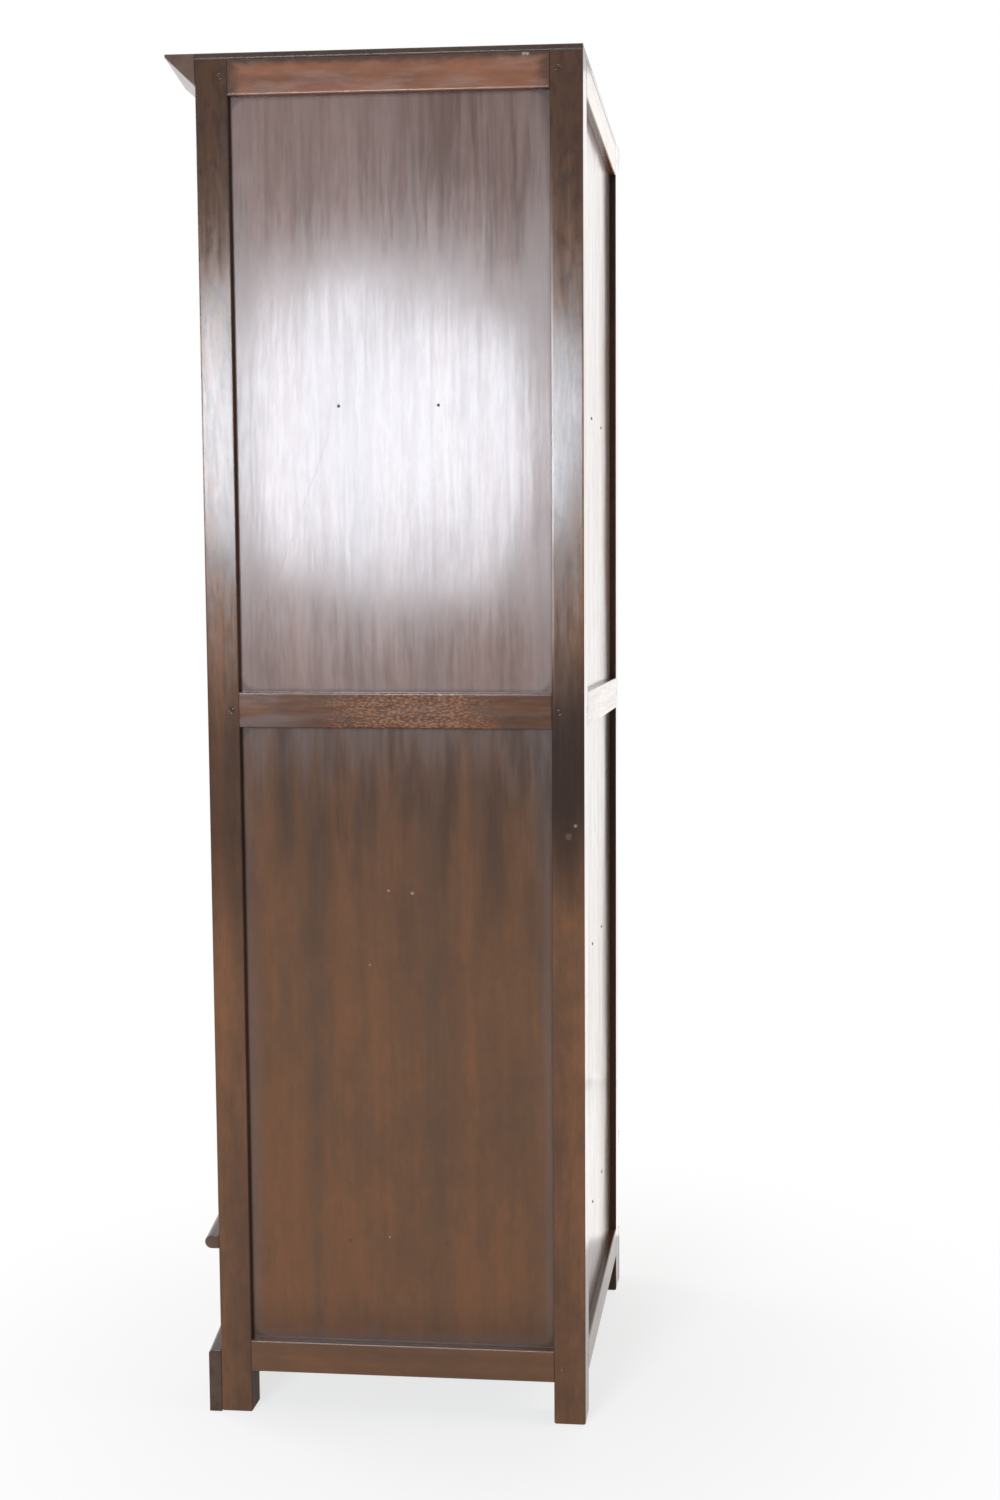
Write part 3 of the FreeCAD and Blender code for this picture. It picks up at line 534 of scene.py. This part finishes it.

# %% [markdown]
# ## Film, haze and shade on the panels
# A cloth never reaches the borders of a sunk panel. A grey film stays there, round in the corners, and it
# runs down from the top in uneven streaks, partly film and partly a painted haze of the lamp's sheen, with
# dark runs of stain between them. Just inside the border a dark line is painted shade, where the groove
# shades the panel. One could paint this on each panel by hand. Here the distance inside the border gives the
# one and the distance below the panel's top gives the other, so all four panels follow their own size.

# %% Panel film
# film_and_haze_tone is the grey of the film, and where it hangs from the top it is also painted haze of the
# sheen.
UPPER_PANEL_LOOK = {"film_and_haze_tone": tone(120, 100, 95), "border": 0.4, "hanging": 0.5, "hang": 0.22,
              "run_tone": tone(74, 55, 47), "run_count": 60, "by_post": 0.85, "by_leg": 0.35, "foot": 0.0}
LOWER_PANEL_LOOK = {"film_and_haze_tone": tone(98, 82, 77), "border": 0.4, "hanging": 0.72, "hang": 0.09,
              "run_tone": tone(54, 36, 27), "run_count": 28, "by_post": 0.8, "by_leg": 0.75, "foot": 0.35}
FILM_BORDER = (0.012, 0.034)   # metres from the border at which the film is full and gone
FILM_WANDER = 0.02             # metres by which streaks shift that
HANG_ENDS = (0.1, 1.1)         # shares of the hang length at which the hanging film is full and gone
RUN_DROP = (0.06, 0.46)        # metres below the top at which the runs are full and gone
RUN_SIDES = (0.12, 0.32)       # metres along the wall between the post's share and the leg's
RUN_RANGE = (0.42, 0.66)       # the part of the runs' noise that is spread over light and dark runs
LIGHT_RUN = 0.4                # strength of the lightest run


def film_and_haze_on(finish, colour, inside, drop, streaks, look):
    """A grey film along the border, and one hanging from the top that is partly painted haze of the sheen."""
    border = finish.between(finish.blend((inside, 1), (streaks, FILM_WANDER)), *FILM_BORDER, 1, 0)
    hang = look["hang"]
    ragged = finish.blend((drop, 1), (streaks, hang * 2), (hang, -1))
    hanging = finish.between(ragged, *[end * hang for end in HANG_ENDS], 1, 0)
    border = finish.times(border, look["border"])
    hanging = finish.times(hanging, look["hanging"])
    film = finish.math("MAXIMUM", border, hanging)
    return finish.mix(film, colour, look["film_and_haze_tone"])


def runs_on(finish, place, along, drop, look):
    """How strong the dark runs are: most near the top, and not the same beside the post and the leg."""
    runs = finish.between(finish.noise(place, look["run_count"], 4, detail=3), *RUN_RANGE, LIGHT_RUN, 1)
    near_top = finish.between(drop, *RUN_DROP, 1, 0)
    across = finish.between(along, *RUN_SIDES, look["by_post"], look["by_leg"])
    return finish.times(runs, finish.times(near_top, across))


print("film hangs down", UPPER_PANEL_LOOK["hang"], "m on the upper panels,", LOWER_PANEL_LOOK["hang"], "m on the lower")

# %% Panel marks
# A dark tone: the panels' groove lines are painted shade in it, and it also darkens the panels' feet and the
# top rail's ends and upper edge.
DARKENING_TONE = tone(44, 31, 25)
GROOVE_SHADE_BORDER = (0.001, 0.008)  # metres from the border at which the painted shade of the groove is full and gone
GROOVE_SHADE_WANDER = 0.003
GROOVE_SHADE_SHARE = 0.5
FOOT_RISE = 0.08               # metres up to which the panel's foot is darker
RUN_DULL = -0.25               # thick runs of stain are smoother than the rest
SIDE_DULL = 0.06               # width of the dull strip along a panel's upright sides
FULL_DULL = 0.01               # width beside the post where that strip is dullest
POST_DULL = 0.9
LEG_DULL = 0.5


def dull_sides(finish, along):
    """How dull a panel is along its upright sides, where no cloth reaches."""
    leg_edge = WALL_WIDE - POST_WIDE
    by_leg = finish.between(along, leg_edge - SIDE_DULL, leg_edge, 0, LEG_DULL)
    by_post = finish.between(along, POST_WIDE + FULL_DULL, POST_WIDE + SIDE_DULL, POST_DULL, 0)
    return finish.math("MAXIMUM", by_leg, by_post)


def panel_marks(bottom, top, look, chips=()):
    """Film and painted haze, runs, painted groove shade, a darker foot and chips for a panel between two
    heights.
    """
    def marks(finish, where, place, colour):
        wall = wall_space(finish)
        along, _, height = finish.parts(wall)
        drop = finish.math("SUBTRACT", top, height)
        rise = finish.math("SUBTRACT", height, bottom)
        inside = inside_panel(finish, wall, bottom, top)
        streaks = finish.noise(place, 44, 1.5, detail=2)
        runs = runs_on(finish, place, along, drop, look)
        colour = film_and_haze_on(finish, colour, inside, drop, streaks, look)
        colour = finish.mix(runs, colour, look["run_tone"])
        colour = finish.mix(finish.between(rise, 0, FOOT_RISE, look["foot"], 0), colour, DARKENING_TONE)
        # Painted shade: a dark line just inside the border, where the groove shades the panel.
        groove_shade = finish.blend((inside, 1), (streaks, GROOVE_SHADE_WANDER))
        colour = finish.mix(finish.between(groove_shade, *GROOVE_SHADE_BORDER, GROOVE_SHADE_SHARE, 0), colour, DARKENING_TONE)
        if chips:
            colour = chipped(finish, colour, chips)
        return colour, finish.blend((dull_sides(finish, along), 1), (runs, RUN_DULL))
    return marks


upper_marks = panel_marks(middle_rail[1], top_rail[0], UPPER_PANEL_LOOK)
lower_marks = panel_marks(bottom_rail[1], middle_rail[0], LOWER_PANEL_LOOK, PANEL_CHIPS)
print("chips on the lower panel:", len(PANEL_CHIPS))

# %% [markdown]
# ## Marks on posts and rails
# The posts and legs took more stain at the top and beside the middle rail, and are mottled above it. A thin
# pale line along the corner post's edge beside the upper panel is a painted highlight. The middle rail's
# varnish has crazed into small pale flakes, with a grey smear at the front end, and the top rail is hazed,
# with dark ends. Each mark could be a thin sheet laid on the wood. A mix towards another tone, inside a zone
# that fades out at its ends, does it without adding anything to the shape.

# %% Marks on posts
THICK_STAIN = tone(36, 19, 11)
THICK_DULL = -0.5              # thick stain is smoother than the rest
STAIN_CORE = 0.04              # metres about its middle where a dark patch is full
STAIN_WANDER = 0.2             # metres by which a patch's ends wander
MOTTLE_RANGE = (0.46, 0.68)
MOTTLE_RISE = 0.3              # metres above the middle rail at which the mottle is full
MOTTLE_SHARE = 0.5
LINE_SPAN = (0.004, 0.002)     # metres from the post's edge at which the painted highlight line is gone and full
LINE_SHARE = 0.3
LINE_RISE = 0.1                # metres above the middle rail at which the line is full
LINE_TOP = (0.3, 0.05)         # metres below the top rail at which the line is full and gone


def highlight_line_and_chips(finish, height, colour):
    """A thin pale line along the post's edge beside the upper panel, a painted highlight, and chips."""
    along = finish.parts(wall_space(finish))[0]
    line = finish.between(along, *[POST_WIDE - off for off in LINE_SPAN], 0, LINE_SHARE)
    line = finish.times(line, finish.between(height, middle_rail[1], middle_rail[1] + LINE_RISE))
    line = finish.times(line, finish.between(height, *[top_rail[0] - off for off in LINE_TOP], 1, 0))
    return chipped(finish, finish.mix(line, colour, WORN_AND_HIGHLIT_TONE), POST_CHIPS)


def post_marks(*patches, highlight_line=False):
    """Dark patches of stain, each with its height, its reach and its strength."""
    def marks(finish, where, place, colour):
        height = finish.parts(where)[2]
        mottle = finish.between(finish.noise(place, 75, 38, detail=4), *MOTTLE_RANGE)
        high_up = finish.between(height, middle_rail[0], middle_rail[1] + MOTTLE_RISE, 0, MOTTLE_SHARE)
        colour = finish.mix(finish.times(mottle, high_up), colour, THICK_STAIN)
        wander = finish.noise(place, 20, 3, detail=2)
        dark = 0.0
        for level, reach, strength in patches:
            off_level = finish.blend((height, 1), (wander, STAIN_WANDER), (level + STAIN_WANDER / 2, -1))
            patch = finish.between(finish.math("ABSOLUTE", off_level), STAIN_CORE, reach, strength, 0)
            dark = finish.math("MAXIMUM", dark, patch)
        colour = finish.mix(dark, colour, THICK_STAIN)
        if highlight_line:
            colour = highlight_line_and_chips(finish, height, colour)
        return colour, finish.times(dark, THICK_DULL)
    return marks


print("stain patches wander by", STAIN_WANDER, "m")

# %% Marks on rails
FLAKE_TONE = tone(162, 105, 66)
FLAKE_RANGE = (0.45, 0.62)     # the part of a noise that turns into flakes
FLAKES_ALONG = 0.24            # metres along the wall to the middle of the crazed stretch
FLAKES_WANDER = 0.1
FLAKES_REACH = (0.05, 0.14)    # metres from that middle at which the flakes are thickest and gone
FLAKES_SHARE = 0.5
SMEAR_TONE = tone(104, 94, 92)
SMEAR_RANGE = (0.42, 0.62)
SMEAR_START = (0.36, 0.44)     # metres along the wall between which the grey smear begins
SMEAR_SHARE = 0.35
HAZE_TONE = tone(128, 104, 95)
HAZE_RANGE = (0.46, 0.7)
HAZE_SHARE = 0.4
DARK_END = (0.015, 0.04)       # metres from the top rail's ends at which the dark is full and gone
END_WANDER = 0.03
END_SHARE = 0.75
DARK_EDGE = (0.008, 0.018)     # the same below the top rail's upper edge
EDGE_WANDER = 0.012
EDGE_SHARE = 0.85


def crazed_marks(finish, where, place, colour):
    """Flaked varnish about the rail's middle and a smear at its front end."""
    along = finish.parts(where)[0]
    flakes = finish.between(finish.noise(place, 460, 170, detail=3), *FLAKE_RANGE)
    wander = finish.noise(place, 60, 25, detail=2)
    off_middle = finish.blend((along, 1), (wander, FLAKES_WANDER), (FLAKES_ALONG + FLAKES_WANDER / 2, -1))
    crazed = finish.between(finish.math("ABSOLUTE", off_middle), *FLAKES_REACH, FLAKES_SHARE, 0)
    colour = finish.mix(finish.times(flakes, crazed), colour, FLAKE_TONE)
    smear = finish.between(finish.noise(place, 55, 9, detail=3), *SMEAR_RANGE)
    front = finish.between(along, *SMEAR_START, 0, SMEAR_SHARE)
    return finish.mix(finish.times(smear, front), colour, SMEAR_TONE), 0.0


def hazed_marks(finish, where, place, colour):
    """Pale haze, dark ends, a dark upper edge and chips."""
    along, _, height = finish.parts(where)
    haze = finish.between(finish.noise(place, 60, 14, detail=4), *HAZE_RANGE, 0, HAZE_SHARE)
    colour = finish.mix(haze, colour, HAZE_TONE)
    fuzzy = finish.noise(place, 90, 60, detail=4)
    off_middle = finish.math("ABSOLUTE", finish.math("SUBTRACT", along, WALL_WIDE / 2))
    to_end = finish.blend((off_middle, -1), (WALL_WIDE / 2 - POST_WIDE, 1), (fuzzy, END_WANDER))
    ends = finish.between(to_end, *DARK_END, END_SHARE, 0)
    to_top = finish.blend((height, -1), (top_rail[1], 1), (fuzzy, EDGE_WANDER))
    above = finish.between(to_top, *DARK_EDGE, EDGE_SHARE, 0)
    colour = finish.mix(finish.math("MAXIMUM", ends, above), colour, DARKENING_TONE)
    return chipped(finish, colour, RAIL_CHIPS), 0.0


print("the middle rail is crazed", FLAKES_ALONG, "m from the back corner")

# %% [markdown]
# ## The woods
# One recipe gives all the woods: only the tones, the grain's direction, the gloss and the marks differ. The
# pegs share the stain of the posts that they sit in. The inside was stained thinly and never polished, so it
# is paler and nearly matt. A finish for each of the sixty pieces would say no more, because each piece's own
# offset already makes it differ from the others.

# %% Wood tones
FRAME_TONES = (tone(72, 48, 32), tone(91, 60, 39), tone(110, 70, 43))
DARK_TONES = (tone(46, 32, 25), tone(58, 40, 31), tone(70, 48, 37))
MOULDING_TONES = (tone(70, 52, 42), tone(84, 64, 53), tone(98, 74, 60))
PLINTH_TONES = (tone(52, 37, 29), tone(64, 47, 38), tone(78, 57, 46))
PANEL_TONES = (tone(78, 55, 40), tone(91, 61, 40), tone(104, 67, 42))
# The upper panel's grey is partly a film on the varnish and partly painted haze of the lamp's sheen.
GREY_FILM_AND_HAZE_TONES = (tone(99, 79, 71), tone(111, 88, 80), tone(123, 98, 90))
TOP_TONES = (tone(92, 58, 41), tone(112, 70, 49), tone(128, 80, 54))
MIDDLE_TONES = (tone(54, 31, 17), tone(78, 45, 23), tone(102, 61, 29))
INNER_TONES = (tone(88, 58, 38), tone(110, 75, 48), tone(130, 91, 60))
print("each wood has", len(FRAME_TONES), "tones: dark, even and warm")

# %% Woods
RAIL_WEAR_AND_HIGHLIGHT = 0.45                # the walls' rails are palest along their long edges: wear and a painted highlight
POST_WEAR_AND_HIGHLIGHT = 0.0                 # posts, legs and pegs keep their dark edges
UPPER_GLOSS = 0.25
LOWER_GLOSS = 0.26
LOWER_SHADE = 0.1              # the lower panels get little painted shade inside, so are nearly as light inside as outside
INNER_ROUGH = 0.55
# Each dark patch of stain: its height, its reach and its strength.
LEG_STAIN = ((0.9, 0.25, 0.6), (1.84, 0.3, 0.7))
POST_STAIN = ((0.95, 0.24, 0.97), (1.82, 0.3, 0.6))
PEG_STAIN = ((0.95, 0.24, 0.8), (1.84, 0.3, 0.6))

upright_frame = stained("upright_frame", room_space, UP, FRAME_TONES)
wall_leg = stained("wall_leg", room_space, UP, FRAME_TONES, marks=post_marks(*LEG_STAIN), wear_and_highlight=POST_WEAR_AND_HIGHLIGHT)
corner_post = stained("corner_post", room_space, UP, FRAME_TONES,
                      marks=post_marks(*POST_STAIN, highlight_line=True), wear_and_highlight=POST_WEAR_AND_HIGHLIGHT)
joint_peg = stained("joint_peg", room_space, UP, FRAME_TONES, marks=post_marks(*PEG_STAIN), wear_and_highlight=POST_WEAR_AND_HIGHLIGHT)
dark_board = stained("dark_board", room_space, ALONG, DARK_TONES)
front_rail = stained("front_rail", room_space, ALONG, FRAME_TONES)
wall_top_rail = stained("wall_top_rail", wall_space, ALONG, TOP_TONES, marks=hazed_marks, wear_and_highlight=RAIL_WEAR_AND_HIGHLIGHT)
wall_middle_rail = stained("wall_middle_rail", wall_space, ALONG, MIDDLE_TONES,
                           marks=crazed_marks, wear_and_highlight=RAIL_WEAR_AND_HIGHLIGHT)
wall_bottom_rail = stained("wall_bottom_rail", wall_space, ALONG, PANEL_TONES, wear_and_highlight=RAIL_WEAR_AND_HIGHLIGHT)
upper_panel = stained("upper_panel", room_space, UP, GREY_FILM_AND_HAZE_TONES,
                      marks=upper_marks, wear_and_highlight=HIDDEN, gloss=UPPER_GLOSS)
lower_panel = stained("lower_panel", room_space, UP, PANEL_TONES,
                      marks=lower_marks, shade=LOWER_SHADE, wear_and_highlight=HIDDEN, gloss=LOWER_GLOSS)
door_panel = stained("door_panel", room_space, UP, PANEL_TONES)
return_moulding = stained("return_moulding", wall_space, BEHIND, MOULDING_TONES)
plinth_end = stained("plinth_end", wall_space, BEHIND, PLINTH_TONES)
shelf_board = stained("shelf_board", room_space, ALONG, INNER_TONES, rough=INNER_ROUGH)
drawer_board = stained("drawer_board", room_space, BEHIND, INNER_TONES, rough=INNER_ROUGH)
print("made", len(bpy.data.materials), "materials")

# %% [markdown]
# ## Brass, nails and glass
# The knobs, hinges and catches are brass that has gone brown where no hand rubs it. The nails of the near
# wall's upper panel are bare dark iron, and the others were stained over. The pane is clear glass. It lets
# lamp light straight through, because true glass would throw a black shadow into the cupboard unless every
# bent ray were traced.

# %% Small finishes
BRASS_TONES = (tone(176, 138, 80), tone(104, 76, 42))
BRASS_ROUGH = (0.25, 0.45)     # rubbed, and brown
BRASS_PATCHES = 90             # cycles per metre
BRASS_RANGE = (0.4, 0.65)
STAINED_NAIL = tone(84, 60, 44)
BARE_IRON = tone(34, 26, 23)
IRON_ROUGH = 0.7
GLASS_IOR = 1.45

brass = Finish("aged_brass")
brown = brass.between(brass.noise(room_space(brass), BRASS_PATCHES, BRASS_PATCHES), *BRASS_RANGE)
brass.set(Base_Color=brass.mix(brown, *BRASS_TONES), Metallic=1.0,
          Roughness=brass.between(brown, 0, 1, *BRASS_ROUGH))
aged_brass = brass.material

nail = Finish("nail_iron")
nail_x, _, nail_z = nail.parts(room_space(nail))
bare = nail.math("MINIMUM", nail.between(nail_z, *middle_rail), nail.between(nail_x, *NEAR_SIDE))
nail.set(Base_Color=nail.mix(bare, STAINED_NAIL, BARE_IRON), Specular_IOR_Level=LOWER_GLOSS,
         Roughness=nail.between(bare, 0, 1, VARNISH_ROUGH, IRON_ROUGH))
nail_iron = nail.material

pane = Finish("clear_glass")
pane.set(Base_Color=WHITE, Transmission_Weight=1.0, Roughness=0.0, IOR=GLASS_IOR)
clear = pane.node("BsdfTransparent")
is_shadow = pane.node("LightPath").outputs["Is Shadow Ray"]
pane.show(pane.node("MixShader", is_shadow, pane.shader.outputs[0], clear.outputs[0]))
clear_glass = pane.material
print("made", len(bpy.data.materials), "materials")

# %% [markdown]
# ## Giving each piece its finish
# Finishes could be given to the pieces one by one. Each piece's name says what it is, though, so a list of
# name endings is enough. The first ending that fits is taken, so the narrow ones come before the wide ones.

# %% Choose the finishes
CHOICES = (
    (aged_brass, ("hinge_leaves", "hinge_pins", "knob", "knobs", "catch")),
    (nail_iron, ("panel_nails",)),
    (joint_peg, ("joint_pegs",)),
    (clear_glass, ("glass",)),
    (shelf_board, ("_shelf", "cupboard_floor", "drawer_back")),
    (drawer_board, ("drawer_sides", "drawer_bottom", "drawer_runners")),
    (upper_panel, ("wall_upper_panel",)),
    (lower_panel, ("wall_lower_panel",)),
    (door_panel, ("door_panel",)),
    (wall_top_rail, ("wall_top_rail",)),
    (wall_middle_rail, ("wall_middle_rail",)),
    (wall_bottom_rail, ("wall_bottom_rail",)),
    (return_moulding, ("cornice_return", "ledge_return")),
    (plinth_end, ("plinth_return",)),
    (corner_post, ("back_corner_post",)),
    (wall_leg, ("_leg",)),
    (upright_frame, ("_stile", "_return_board")),
    (dark_board, ("top_board",)),
    (front_rail, ("_rail", "_front", "glazing_beads")),
)

for name, piece in nodes.items():
    fitting = [finish for finish, endings in CHOICES if name.endswith(endings)]
    piece.data.materials.clear()
    piece.data.materials.append(fitting[0])
print("finished", len(nodes), "pieces")
